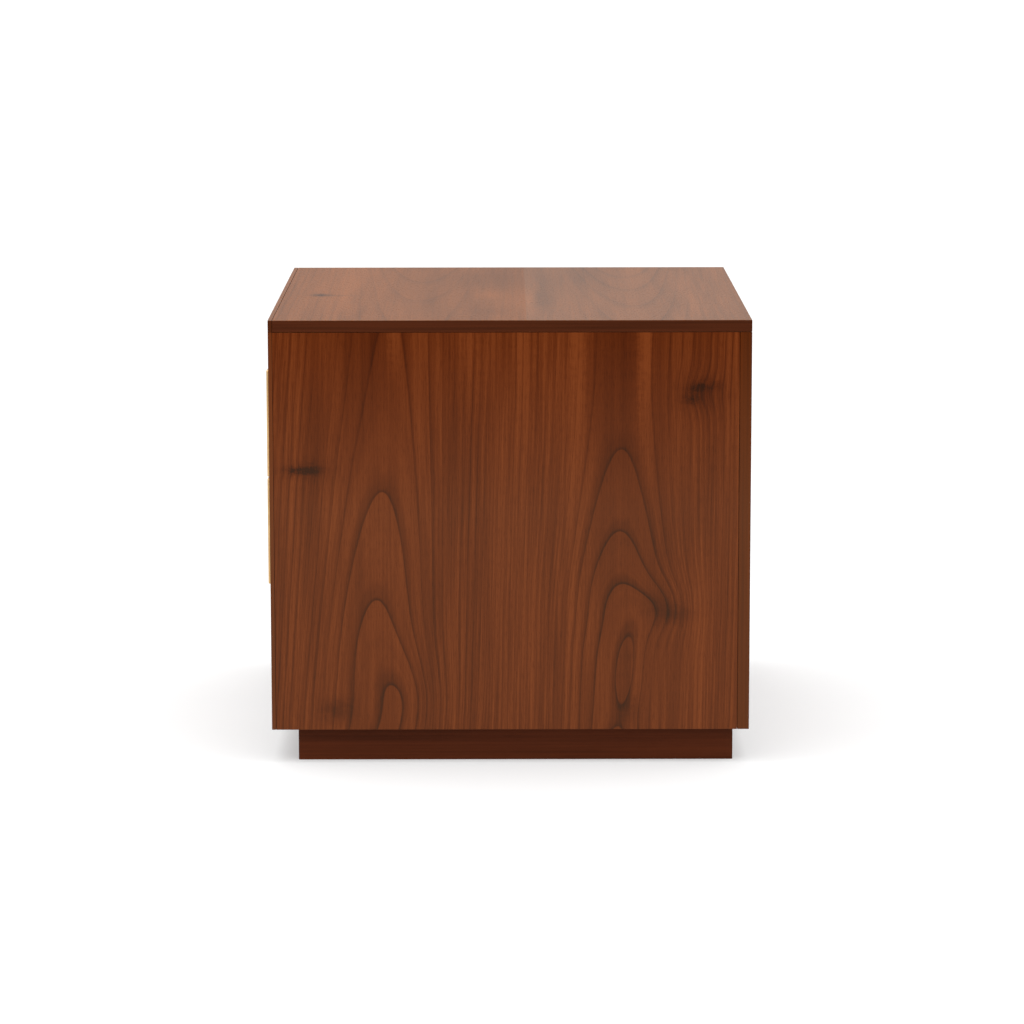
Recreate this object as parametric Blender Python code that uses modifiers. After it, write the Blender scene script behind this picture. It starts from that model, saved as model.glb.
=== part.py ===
"""Two-drawer walnut cube cabinet on a recessed plinth, with brass bar pulls and ball-bearing drawer slides.

Metres, +Z up. The drawers face -Y and the origin is on the floor, under the middle of the whole box.
"""

import math

import bmesh
import bpy
from mathutils import Matrix, Vector

# Cabinet, outside
WIDTH = 0.655
DEPTH = 0.610  # drawer fronts to the back's outer face, without the pulls
HEIGHT = 0.570
BOARD = 0.015  # top, sides, bottom and back
LIPPING = 0.005  # solid strip on the front edges of the carcass boards
EASE = 0.0008  # eased arris on the show edges
GAP = 0.0003  # between pieces that touch

# Plinth
PLINTH_HEIGHT = 0.0433
PLINTH_BOARD = 0.015
PLINTH_FRONT_INSET = 0.0328
PLINTH_BACK_INSET = 0.0196
PLINTH_SIDE_INSET = 0.0207
PLINTH_CORNER_RADIUS = 0.002
BLOCK = 0.032
BLOCK_CLEARANCE = 0.004  # from the floor up to a corner block

# Drawer fronts
FRONT = 0.018
REVEAL = 0.0028  # gap round each inset front
SPLIT_HEIGHT = 0.3205  # middle of the gap between the two fronts

# Drawer boxes
BOX_LENGTH = 0.500
BOX_BOARD = 0.012
BOX_BOTTOM = 0.006
GROOVE_DEPTH = 0.006
GROOVE_RISE = 0.012  # box's lower edge to the underside of its bottom
BOX_RISE = 0.012  # front's lower edge to the box's lower edge
BOX_HEADROOM = 0.012  # box's upper edge to the front's upper edge
BOX_EASE = 0.001

# Drawer slides: three nested channels
SLIDE_LENGTH = 0.500
SLIDE_THICKNESS = 0.0127
SLIDE_STEEL = 0.0012
SLIDE_RISE = 0.045  # box's lower edge to the slide's centre line
SLIDE_SETBACK = 0.003  # behind the drawer front
CABINET_MEMBER_HALF_HEIGHT = 0.02275
CABINET_MEMBER_REACH = 0.0098
MIDDLE_MEMBER_HALF_HEIGHT = 0.0179
MIDDLE_MEMBER_START = 0.0032
MIDDLE_MEMBER_REACH = 0.0110
DRAWER_MEMBER_HALF_HEIGHT = 0.0130
DRAWER_MEMBER_START = 0.0052
SLIDE_SCREW_END_INSET = 0.037

# Pulls
PULL_PROJECTION = 0.0216
PULL_LENGTH = 0.144
PULL_WIDTH = 0.020
PULL_BAR = 0.007
PULL_EASE = 0.0012
PULL_POST_RADIUS = 0.005
PULL_POST_SPACING = 0.064
PULL_THREAD = 0.009  # depth of the screw's hole in a post
PULL_SCREW_IN_POST = 0.008

# Screws, and the pilot holes of the slide and block screws
SCREW_HEAD_RADIUS = 0.0042
SCREW_HEAD_HEIGHT = 0.0022
SCREW_SHANK_RADIUS = 0.0020
FRONT_SCREW_LENGTH = 0.024
FRONT_SCREW_INSET = 0.060
BLOCK_HOLE_RADIUS = 0.0020
BLOCK_HOLE_IN_BOTTOM = 0.009
SLIDE_HOLE_RADIUS = 0.00175
SLIDE_HOLE_DEPTH = 0.009
HOLE_CLEARANCE = 0.0003
HOLE_END_CLEARANCE = 0.0008
ROUND_STEPS = 12

# Places that follow from the sizes above
FRONT_Y = (PULL_PROJECTION - DEPTH) / 2
BACK_Y = FRONT_Y + DEPTH
INSIDE = WIDTH / 2 - BOARD
CARCASS_Y = FRONT_Y + LIPPING + GAP
BACK_PANEL_Y = BACK_Y - BOARD
UNDER_TOP = HEIGHT - BOARD
FLOOR_OF_CARCASS = PLINTH_HEIGHT + GAP
ABOVE_BOTTOM = FLOOR_OF_CARCASS + BOARD
BOX_HALF_WIDTH = INSIDE - GAP - SLIDE_THICKNESS - GAP
BOX_Y = FRONT_Y + FRONT + GAP
SLIDE_Y = FRONT_Y + FRONT + SLIDE_SETBACK
SLIDE_SCREW_YS = (
    SLIDE_Y + SLIDE_SCREW_END_INSET,
    SLIDE_Y + SLIDE_LENGTH / 2,
    SLIDE_Y + SLIDE_LENGTH - SLIDE_SCREW_END_INSET,
)
SIDES = (("left", -1), ("right", 1))
DRAWERS = {
    "lower": (ABOVE_BOTTOM + REVEAL, SPLIT_HEIGHT - REVEAL / 2),
    "upper": (SPLIT_HEIGHT + REVEAL / 2, UNDER_TOP - REVEAL),
}
UP = Vector((0, 0, 1))

for old in list(bpy.data.objects):
    bpy.data.objects.remove(old)
MODEL = bpy.data.collections.new("walnut_cube_cabinet")
CUTTERS = bpy.data.collections.new("cutters")
for collection in (MODEL, CUTTERS):
    bpy.context.scene.collection.children.link(collection)


def material(name, colour, roughness, metallic=0.0):
    made = bpy.data.materials.new(name)
    made.use_nodes = True
    shader = made.node_tree.nodes["Principled BSDF"]
    shader.inputs["Base Color"].default_value = (*colour, 1)
    shader.inputs["Roughness"].default_value = roughness
    shader.inputs["Metallic"].default_value = metallic
    made.diffuse_color = (*colour, 1)
    return made


WALNUT = material("walnut_veneer", (0.155, 0.052, 0.018), 0.42)
WALNUT_SOLID = material("walnut_lipping", (0.120, 0.038, 0.014), 0.42)
BIRCH = material("birch_plywood", (0.62, 0.45, 0.27), 0.55)
BRASS = material("satin_brass", (0.62, 0.42, 0.20), 0.32, 1.0)
ZINC = material("zinc_plated_steel", (0.55, 0.56, 0.57), 0.35, 1.0)


def add(name, mesh, finish, matrix, parent=None):
    """Links an object to the model, or to the cutters where it and its mesh have no finish."""
    made = bpy.data.objects.new(name, mesh)
    made.matrix_world = matrix
    if finish:
        mesh.materials.append(finish)
    if mesh.materials:
        MODEL.objects.link(made)
    else:
        CUTTERS.objects.link(made)
        made.hide_render = True
        made.display_type = "WIRE"
    if parent:
        made.parent = parent
        made.matrix_parent_inverse = Matrix.Translation(parent.location).inverted()
    return made


def mesh_from(name, bm):
    mesh = bpy.data.meshes.new(name)
    bm.to_mesh(mesh)
    bm.free()
    return mesh


def board(name, low, high, finish, ease=0.0, parent=None):
    """A rectangular board between two corners, with its edges eased."""
    low, high = Vector(low), Vector(high)
    bm = bmesh.new()
    bmesh.ops.create_cube(bm, size=1)
    bmesh.ops.scale(bm, vec=high - low, verts=bm.verts)
    made = add(name, mesh_from(name, bm), finish, Matrix.Translation((low + high) / 2), parent)
    if ease:
        bevel = made.modifiers.new("eased_edges", "BEVEL")
        bevel.width = ease
        bevel.segments = 2
    return made


def axes(origin, along, inward):
    """Matrix whose X runs along a strip and whose Y points inward from its outer face."""
    x, y = Vector(along), Vector(inward)
    turn = Matrix((x, y, x.cross(y))).transposed().to_4x4()
    return Matrix.Translation(origin) @ turn


def extrusion(name, outline, length, finish, matrix, parent=None):
    """A closed outline in X and Y, extruded to half its length each way along Z."""
    curve = bpy.data.curves.new(name, "CURVE")
    curve.dimensions = "2D"
    curve.fill_mode = "BOTH"
    curve.extrude = length / 2
    spline = curve.splines.new("POLY")
    spline.points.add(len(outline) - 1)
    for point, (x, y) in zip(spline.points, outline):
        point.co = (x, y, 0, 1)
    spline.use_cyclic_u = True
    drawn = bpy.data.objects.new(name, curve)
    MODEL.objects.link(drawn)
    seen = drawn.evaluated_get(bpy.context.evaluated_depsgraph_get())
    bm = bmesh.new()
    bm.from_mesh(bpy.data.meshes.new_from_object(seen))
    bmesh.ops.remove_doubles(bm, verts=bm.verts, dist=0.00001)
    bmesh.ops.recalc_face_normals(bm, faces=bm.faces)
    bpy.data.objects.remove(drawn)
    return add(name, mesh_from(name, bm), finish, matrix, parent)


def turned(profile, finish):
    """The mesh of a profile of (radius, height) points, top to bottom, turned about Z."""
    mesh = bpy.data.meshes.new("profile")
    points = [(radius, 0, height) for radius, height in profile]
    mesh.from_pydata(points, [(i, i + 1) for i in range(len(points) - 1)], [])
    lathe = bpy.data.objects.new("profile", mesh)
    MODEL.objects.link(lathe)
    screw = lathe.modifiers.new("turning", "SCREW")
    screw.steps = screw.render_steps = ROUND_STEPS
    screw.use_merge_vertices = True
    screw.merge_threshold = 0.00001
    seen = lathe.evaluated_get(bpy.context.evaluated_depsgraph_get())
    made = bpy.data.meshes.new_from_object(seen)
    made.materials.append(finish)
    made.shade_smooth()
    made.set_sharp_from_angle(angle=math.radians(35))
    bpy.data.objects.remove(lathe)
    return made


def pointed(name, mesh, place, direction, parent):
    """A turned piece at a place, its Z axis turned to point away from the direction."""
    turn = (-UP).rotation_difference(Vector(direction)).to_matrix().to_4x4()
    return add(name, mesh, None, Matrix.Translation(place) @ turn, parent)


def screw_mesh(length):
    """A pan-head screw, its head standing on Z = 0 and its point down."""
    return turned([
        (0, SCREW_HEAD_HEIGHT),
        (0.65 * SCREW_HEAD_RADIUS, SCREW_HEAD_HEIGHT),
        (SCREW_HEAD_RADIUS, 0.4 * SCREW_HEAD_HEIGHT),
        (SCREW_HEAD_RADIUS, 0),
        (SCREW_SHANK_RADIUS, 0),
        (SCREW_SHANK_RADIUS, 2 * SCREW_SHANK_RADIUS - length),
        (0, -length),
    ], ZINC)


def bore(targets, name, radius, places, direction, before, depth):
    """Drills a round hole at each place, from 'before' ahead of it to 'depth' past it."""
    direction = Vector(direction)
    turn = UP.rotation_difference(direction).to_matrix().to_4x4()
    bm = bmesh.new()
    for place in places:
        middle = Vector(place) + direction * (depth - before) / 2
        bmesh.ops.create_cone(
            bm, cap_ends=True, segments=ROUND_STEPS, radius1=radius, radius2=radius,
            depth=depth + before, matrix=Matrix.Translation(middle) @ turn)
    cut(targets, add(name, mesh_from(name, bm), None, Matrix()))


def cut(targets, cutter):
    for target in targets:
        boolean = target.modifiers.new(cutter.name, "BOOLEAN")
        boolean.operation = "DIFFERENCE"
        boolean.solver = "EXACT"
        boolean.object = cutter


def mitred(length, width, radius=0.0):
    """Outline of a strip along X with 45 degree ends and rounded outer corners."""
    end = length / 2 - GAP / math.sqrt(2)
    right = [(end - width, width)]
    steps = 3 if radius else 0
    for step in range(steps + 1):
        angle = math.radians(45) * (1 - step / steps) if radius else 0
        right.append((end - radius + radius * math.sin(angle), radius - radius * math.cos(angle)))
    left = [(-x, y) for x, y in reversed(right)]
    return right + left


# Carcass boards: top over everything, bottom between the sides, back over the rear edges
top = board(
    "top_panel", (-WIDTH / 2, CARCASS_Y, UNDER_TOP), (WIDTH / 2, BACK_Y, HEIGHT), WALNUT, EASE)
bottom = board(
    "bottom_panel", (-INSIDE + GAP, CARCASS_Y, FLOOR_OF_CARCASS),
    (INSIDE - GAP, BACK_PANEL_Y - GAP, ABOVE_BOTTOM), WALNUT, EASE)
back = board(
    "back_panel", (-WIDTH / 2, BACK_PANEL_Y, FLOOR_OF_CARCASS),
    (WIDTH / 2, BACK_Y, UNDER_TOP - GAP), WALNUT, EASE)
side_panels = {}
for hand, sign in SIDES:
    outer, inner = sorted((sign * WIDTH / 2, sign * INSIDE))
    side_panels[hand] = board(
        f"side_panel_{hand}", (outer, CARCASS_Y, FLOOR_OF_CARCASS),
        (inner, BACK_PANEL_Y - GAP, UNDER_TOP - GAP), WALNUT, EASE)

# Lipping: four mitred strips round the carcass's front edges
lipping_middle = (FLOOR_OF_CARCASS + HEIGHT) / 2
lipping_height = HEIGHT - FLOOR_OF_CARCASS
lipping_y = FRONT_Y + LIPPING / 2
for place, origin, along, inward, length in (
    ("bottom", (0, lipping_y, FLOOR_OF_CARCASS), (1, 0, 0), (0, 0, 1), WIDTH),
    ("right", (WIDTH / 2, lipping_y, lipping_middle), (0, 0, 1), (-1, 0, 0), lipping_height),
    ("top", (0, lipping_y, HEIGHT), (-1, 0, 0), (0, 0, -1), WIDTH),
    ("left", (-WIDTH / 2, lipping_y, lipping_middle), (0, 0, -1), (1, 0, 0), lipping_height),
):
    extrusion(
        f"front_lipping_{place}", mitred(length, BOARD, EASE), LIPPING, WALNUT_SOLID,
        axes(origin, along, inward))

# Plinth: four mitred boards with a glued and screwed block in each corner
plinth_x = WIDTH / 2 - PLINTH_SIDE_INSET
plinth_front = FRONT_Y + PLINTH_FRONT_INSET
plinth_back = BACK_Y - PLINTH_BACK_INSET
plinth_middle = (plinth_front + plinth_back) / 2
plinth_length = plinth_back - plinth_front
for place, origin, along, inward, length in (
    ("front", (0, plinth_front, PLINTH_HEIGHT / 2), (1, 0, 0), (0, 1, 0), 2 * plinth_x),
    ("right", (plinth_x, plinth_middle, PLINTH_HEIGHT / 2), (0, 1, 0), (-1, 0, 0), plinth_length),
    ("back", (0, plinth_back, PLINTH_HEIGHT / 2), (-1, 0, 0), (0, -1, 0), 2 * plinth_x),
    ("left", (-plinth_x, plinth_middle, PLINTH_HEIGHT / 2), (0, -1, 0), (1, 0, 0), plinth_length),
):
    extrusion(
        f"plinth_{place}", mitred(length, PLINTH_BOARD, PLINTH_CORNER_RADIUS), PLINTH_HEIGHT,
        WALNUT_SOLID, axes(origin, along, inward))

block_x = plinth_x - PLINTH_BOARD - GAP - BLOCK / 2
block_ys = {
    "front": plinth_front + PLINTH_BOARD + GAP + BLOCK / 2,
    "back": plinth_back - PLINTH_BOARD - GAP - BLOCK / 2,
}
blocks = []
for hand, sign in SIDES:
    for place, y in block_ys.items():
        middle = Vector((sign * block_x, y, 0))
        corner = Vector((BLOCK / 2, BLOCK / 2, 0))
        blocks.append(board(
            f"plinth_block_{place}_{hand}", middle - corner + UP * BLOCK_CLEARANCE,
            middle + corner + UP * PLINTH_HEIGHT, BIRCH))
bore(
    [*blocks, bottom], "block_screw_holes", BLOCK_HOLE_RADIUS + HOLE_CLEARANCE,
    [block.location for block in blocks], UP, PLINTH_HEIGHT / 2,
    PLINTH_HEIGHT / 2 - BLOCK_CLEARANCE / 2 + BLOCK_HOLE_IN_BOTTOM)


def channel(name, start, reach, half_height, steel, hand_sign, centre_z, parent=None):
    """A C-section slide member: its web at 'start' from the cabinet side, its flanges out to 'reach'."""
    web = start + steel
    outline = [
        (start, -half_height), (reach, -half_height), (reach, abs(steel) - half_height),
        (web, abs(steel) - half_height), (web, half_height - abs(steel)),
        (reach, half_height - abs(steel)), (reach, half_height), (start, half_height),
    ]
    origin = (hand_sign * (INSIDE - GAP), SLIDE_Y + SLIDE_LENGTH / 2, centre_z)
    return extrusion(
        name, outline, SLIDE_LENGTH, ZINC, axes(origin, (-hand_sign, 0, 0), (0, 0, 1)), parent)


front_screw = screw_mesh(FRONT_SCREW_LENGTH)
pull_screw = screw_mesh(BOX_BOARD + GAP + FRONT + GAP + PULL_SCREW_IN_POST)
screw_hole = SCREW_SHANK_RADIUS + HOLE_CLEARANCE
post_length = PULL_PROJECTION - PULL_BAR - 2 * GAP
post = turned([
    (0, post_length),
    (PULL_POST_RADIUS, post_length),
    (PULL_POST_RADIUS, 0),
    (screw_hole, 0),
    (screw_hole, PULL_THREAD),
    (0, PULL_THREAD),
], BRASS)

for drawer, (front_low, front_high) in DRAWERS.items():
    # Drawer, which slides on an empty at the middle of its box
    box_low = front_low + BOX_RISE
    box_high = front_high - BOX_HEADROOM
    box_back = BOX_Y + BOX_LENGTH
    slide_z = box_low + SLIDE_RISE
    runner = bpy.data.objects.new(f"{drawer}_drawer_runner", None)
    runner.location = (0, BOX_Y + BOX_LENGTH / 2, slide_z)
    middle_runner = bpy.data.objects.new(f"{drawer}_middle_member_runner", None)
    middle_runner.location = runner.location
    MODEL.objects.link(runner)
    MODEL.objects.link(middle_runner)

    # Inset front, screwed to the box from inside
    front = board(
        f"{drawer}_drawer_front", (-INSIDE + REVEAL, FRONT_Y, front_low),
        (INSIDE - REVEAL, FRONT_Y + FRONT, front_high), WALNUT, EASE, runner)

    # Box: sides outside, inner front and back between them, bottom in a groove
    inner_x = BOX_HALF_WIDTH - BOX_BOARD
    sides = {}
    for hand, sign in SIDES:
        near, far = sorted((sign * inner_x, sign * BOX_HALF_WIDTH))
        sides[hand] = board(
            f"{drawer}_box_side_{hand}", (near, BOX_Y, box_low), (far, box_back, box_high),
            BIRCH, BOX_EASE, runner)
    inner_front = board(
        f"{drawer}_box_front", (-inner_x + GAP, BOX_Y, box_low),
        (inner_x - GAP, BOX_Y + BOX_BOARD, box_high), BIRCH, BOX_EASE, runner)
    box_rear = board(
        f"{drawer}_box_back", (-inner_x + GAP, box_back - BOX_BOARD, box_low),
        (inner_x - GAP, box_back, box_high), BIRCH, BOX_EASE, runner)
    tongue = Vector((GROOVE_DEPTH - GAP, GROOVE_DEPTH - GAP, 0))
    panel_low = Vector((-inner_x, BOX_Y + BOX_BOARD, box_low + GROOVE_RISE)) - tongue
    panel_high = Vector((
        inner_x, box_back - BOX_BOARD, box_low + GROOVE_RISE + BOX_BOTTOM)) + tongue
    board(f"{drawer}_box_bottom", panel_low, panel_high, BIRCH, 0, runner)
    room = Vector((GAP, GAP, GAP))
    groove = board(f"{drawer}_bottom_groove", panel_low - room, panel_high + room, None)
    cut([*sides.values(), inner_front, box_rear], groove)

    # Slides: cabinet member, middle member and drawer member on each side
    for hand, sign in SIDES:
        cabinet_member = channel(
            f"{drawer}_slide_cabinet_member_{hand}", 0, CABINET_MEMBER_REACH,
            CABINET_MEMBER_HALF_HEIGHT, SLIDE_STEEL, sign, slide_z)
        channel(
            f"{drawer}_slide_middle_member_{hand}", MIDDLE_MEMBER_START, MIDDLE_MEMBER_REACH,
            MIDDLE_MEMBER_HALF_HEIGHT, SLIDE_STEEL, sign, slide_z, middle_runner)
        drawer_member = channel(
            f"{drawer}_slide_drawer_member_{hand}", SLIDE_THICKNESS, DRAWER_MEMBER_START,
            DRAWER_MEMBER_HALF_HEIGHT, -SLIDE_STEEL, sign, slide_z, runner)
        bore(
            [cabinet_member, side_panels[hand]], f"{drawer}_cabinet_member_holes_{hand}",
            SLIDE_HOLE_RADIUS + HOLE_CLEARANCE,
            [Vector((sign * INSIDE, y, slide_z)) for y in SLIDE_SCREW_YS], (sign, 0, 0),
            2 * SLIDE_STEEL, SLIDE_HOLE_DEPTH)
        bore(
            [drawer_member, sides[hand]], f"{drawer}_drawer_member_holes_{hand}",
            SLIDE_HOLE_RADIUS + HOLE_CLEARANCE,
            [Vector((sign * BOX_HALF_WIDTH, y, slide_z)) for y in SLIDE_SCREW_YS],
            (-sign, 0, 0), 2 * SLIDE_STEEL, SLIDE_HOLE_DEPTH)

    # Screws from inside the box into the front
    head_y = BOX_Y + BOX_BOARD + GAP
    screw_places = {
        f"{level}_{hand}": Vector((sign * (inner_x - FRONT_SCREW_INSET), head_y, z))
        for hand, sign in SIDES
        for level, z in (
            ("low", box_low + FRONT_SCREW_INSET), ("high", box_high - FRONT_SCREW_INSET))
    }
    for spot, place in screw_places.items():
        pointed(f"{drawer}_front_screw_{spot}", front_screw, place, (0, -1, 0), runner)
    bore(
        [inner_front, front], f"{drawer}_front_screw_holes", screw_hole, screw_places.values(),
        (0, -1, 0), GAP, FRONT_SCREW_LENGTH + HOLE_END_CLEARANCE)

    # Pull: a flat bar ending at the gap between the fronts, on two posts screwed from inside
    ends = (front_low, front_low + PULL_LENGTH) if drawer == "upper" else (
        front_high - PULL_LENGTH, front_high)
    bar_y = FRONT_Y - PULL_PROJECTION
    board(
        f"{drawer}_pull_bar", (-PULL_WIDTH / 2, bar_y, ends[0]),
        (PULL_WIDTH / 2, bar_y + PULL_BAR, ends[1]), BRASS, PULL_EASE, runner)
    post_places = {
        level: Vector((0, FRONT_Y - GAP, sum(ends) / 2 + half * PULL_POST_SPACING / 2))
        for level, half in (("low", -1), ("high", 1))
    }
    for level, place in post_places.items():
        pointed(f"{drawer}_pull_post_{level}", post, place, (0, 1, 0), runner)
        head_place = Vector((0, head_y, place.z))
        pointed(f"{drawer}_pull_screw_{level}", pull_screw, head_place, (0, -1, 0), runner)
    bore(
        [inner_front, front], f"{drawer}_pull_screw_holes", screw_hole, post_places.values(),
        (0, 1, 0), 2 * GAP, BOX_BOARD + FRONT + 4 * GAP)
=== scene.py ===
import math

import bmesh
import bpy
from mathutils import Matrix, Vector


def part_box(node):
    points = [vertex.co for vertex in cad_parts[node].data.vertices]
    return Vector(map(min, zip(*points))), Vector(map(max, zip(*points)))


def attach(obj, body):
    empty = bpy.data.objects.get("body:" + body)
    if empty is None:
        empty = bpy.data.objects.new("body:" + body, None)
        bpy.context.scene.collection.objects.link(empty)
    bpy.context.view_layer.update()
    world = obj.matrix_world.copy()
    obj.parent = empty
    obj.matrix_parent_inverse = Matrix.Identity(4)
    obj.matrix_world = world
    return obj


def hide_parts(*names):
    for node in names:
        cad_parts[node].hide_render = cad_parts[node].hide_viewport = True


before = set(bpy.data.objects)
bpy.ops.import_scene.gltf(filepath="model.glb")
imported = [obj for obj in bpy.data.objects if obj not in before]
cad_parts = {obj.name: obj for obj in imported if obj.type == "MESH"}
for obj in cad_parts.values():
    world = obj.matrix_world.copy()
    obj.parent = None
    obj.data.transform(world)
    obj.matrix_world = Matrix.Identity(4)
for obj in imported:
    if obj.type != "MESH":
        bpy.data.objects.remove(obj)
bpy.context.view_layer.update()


# Side panels: 15 mm boards faced with American walnut veneer, crown cut, two leaves to a side with
# the grain upright. The finish is hard-wax oil: red-brown, open pores and a soft, low sheen. Thin
# strips of straight-grained walnut cover the edges.
MM = 0.001
VENEER_TONES = {0.0: "#6e3312", 0.30: "#5a2508", 0.60: "#481a03", 1.0: "#280d03"}
EDGE_TONES = ("#4c210d", "#391706")
# A painted reflection of the white floor, added to the lower part of upright boards.
FLOOR_REFLECTION_PAINT = "#2a2118"
FLOOR_REFLECTION_SHARE = 0.55
X, Y, Z = range(3)


def linear(hex_colour):
    """An sRGB hex colour as linear RGBA."""
    parts = [int(hex_colour[i : i + 2], 16) / 255 for i in (1, 3, 5)]
    return [c / 12.92 if c <= 0.04045 else ((c + 0.055) / 1.055) ** 2.4 for c in parts] + [1]


def add(tree, kind, *values, out=0, by=None, **settings):
    """Adds a node, sets it, and feeds its sockets in order, or by name or number, from values
    or from other nodes' outputs."""
    made = tree.nodes.new("ShaderNode" + kind)
    for setting, value in settings.items():
        setattr(made, setting, value)
    feeds = [(made.inputs[i], value) for i, value in enumerate(values) if value is not None]
    feeds += [(made.inputs[key], value) for key, value in (by or {}).items()]
    for socket, value in feeds:
        if isinstance(value, bpy.types.NodeSocket):
            tree.links.new(value, socket)
        else:
            socket.default_value = value
    return made.outputs[out] if made.outputs else made


def blank(name):
    """A new material, its tree and its surface shader."""
    made = bpy.data.materials.new(name)
    made.use_nodes = True
    return made, made.node_tree, made.node_tree.nodes["Principled BSDF"]


def grain(tree, place, scale, detail=3.0, roughness=0.6):
    """Noise stretched by a scale along each axis, in cycles per metre."""
    stretched = add(tree, "VectorMath", place, scale, operation="MULTIPLY")
    return add(tree, "TexNoise", stretched, by={
        "Scale": 1.0, "Detail": detail, "Roughness": roughness})


def layered(tree, base, layers):
    """Adds up a base and layers of (output, amount, what it is at rest)."""
    for layer, amount, rest in layers:
        base = add(tree, "Math", layer, amount, base, operation="MULTIPLY_ADD")
        base = add(tree, "Math", base, amount * rest, operation="SUBTRACT")
    return base


def hump(tree, across, along, centre, wide, tall):
    """1 at a spot, falling to 0 over its half width and half height."""
    x = add(tree, "Math", across, 1 / wide, -centre[0] / wide, operation="MULTIPLY_ADD")
    y = add(tree, "Math", along, 1 / tall, -centre[1] / tall, operation="MULTIPLY_ADD")
    y = add(tree, "Math", y, y, operation="MULTIPLY")
    away = add(tree, "Math", x, x, y, operation="MULTIPLY_ADD")
    away = add(tree, "Math", away, -1.0, operation="MULTIPLY")
    return add(tree, "Math", away, operation="EXPONENT")


ARCH_SPREAD = 100 * MM  # how far aside the arches give way to straight lines
ARCH_LENGTH = 10.0  # longer than any board, so that they don't fade along the grain
ARCH_END = 30 * MM  # how softly they stop at a leaf's reach below its peak


def crown(tree, across, along, leaf, at):
    """Growth rings over one crown-cut leaf: arches up its middle and straight lines beside it.
    Gives the ring number, and how many rings there are to a metre. A leaf says where its centre
    and its peak are, how deep the pith lay, how wide a ring is and how much board one arch takes.
    Its bends push the grain aside, and its islands close the rings round a spot."""
    for share, width, height, shift in leaf.get("bends", ()):
        bend = hump(tree, across, along, at(*share), width, height)
        across = add(tree, "Math", bend, -shift, across, operation="MULTIPLY_ADD")
    middle, peak = at(leaf["centre"], leaf["peak"])
    lean = leaf.get("lean", 0.0)
    centre = add(tree, "Math", along, lean, middle - lean * peak, operation="MULTIPLY_ADD")
    aside = add(tree, "Math", across, centre, operation="SUBTRACT")
    radius = add(tree, "Math", aside, aside, leaf["pith"] ** 2, operation="MULTIPLY_ADD")
    radius = add(tree, "Math", radius, operation="SQRT")
    ring = add(tree, "Math", radius, 1 / leaf["ring"], -leaf["pith"] / leaf["ring"],
               operation="MULTIPLY_ADD")
    up = add(tree, "Math", along, peak, operation="SUBTRACT")
    up = add(tree, "Math", up, -leaf.get("reach", 1.0), ARCH_END, operation="SMOOTH_MAX")
    near = hump(tree, aside, up, (0, 0), ARCH_SPREAD, ARCH_LENGTH)
    rise = add(tree, "Math", up, -leaf["curve"], 1 / leaf["arch"], operation="MULTIPLY_ADD")
    rise = add(tree, "Math", rise, near, operation="MULTIPLY")
    ring = add(tree, "Math", up, rise, ring, operation="MULTIPLY_ADD")
    for share, width, height, push in leaf.get("islands", ()):
        island = hump(tree, across, along, at(*share), width, height)
        ring = add(tree, "Math", island, push, ring, operation="MULTIPLY_ADD")
    sideways = add(tree, "Math", aside, radius, operation="DIVIDE")
    sideways = add(tree, "Math", sideways, 1 / leaf["ring"], operation="MULTIPLY")
    upwards = add(tree, "Math", up, -2 * leaf["curve"], 1 / leaf["arch"],
                  operation="MULTIPLY_ADD")
    upwards = add(tree, "Math", upwards, near, operation="MULTIPLY")
    upwards = add(tree, "Math", upwards, upwards, operation="MULTIPLY")
    rate = add(tree, "Math", sideways, sideways, upwards, operation="MULTIPLY_ADD")
    return ring, add(tree, "Math", rate, operation="SQRT")


def painted_floor_reflection(tree, shade, height, low, high):
    """A shade between two heights, with a painted reflection of the white floor added: full in
    the lower part, and gone at the top."""
    where = add(tree, "MapRange", height, low + FLOOR_REFLECTION_SHARE * (high - low), high, 1.0, 0.0)
    return add(tree, "Mix", data_type="RGBA", blend_type="ADD", out=2,
               by={0: where, 6: shade, 7: linear(FLOOR_REFLECTION_PAINT)})


def boarded(tree, thin, face, edge):
    """A board's two faces in one colour and its edges in another, told by the way they look."""
    facing = add(tree, "SeparateXYZ", add(tree, "TexCoord", out=1)).node.outputs[thin]
    facing = add(tree, "Math", facing, operation="ABSOLUTE")
    facing = add(tree, "Math", facing, 0.7, operation="GREATER_THAN")
    return add(tree, "Mix", data_type="RGBA", out=2, by={0: facing, 6: edge, 7: face})


def oiled(tree, shader, shade, pore, line, gloss):
    """Hard-wax oil over a shade: the pores are duller and a little lower than the wood round
    them, and the dark lines are lower too."""
    tree.links.new(shade, shader.inputs["Base Color"])
    rough = add(tree, "MapRange", pore, 0.0, 1.0, 0.38, 0.55)
    tree.links.new(rough, shader.inputs["Roughness"])
    height = layered(tree, 0.0, ((pore, -0.7, 0.0), (line, -0.3, 0.0)))
    bump = add(tree, "Bump", by={"Strength": 0.25, "Distance": 0.1 * MM, "Height": height})
    tree.links.new(bump, shader.inputs["Normal"])
    shader.inputs["IOR"].default_value = 1.5
    shader.inputs["Specular IOR Level"].default_value = gloss
    shader.inputs["Specular Tint"].default_value = linear("#fff8ec")


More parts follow.
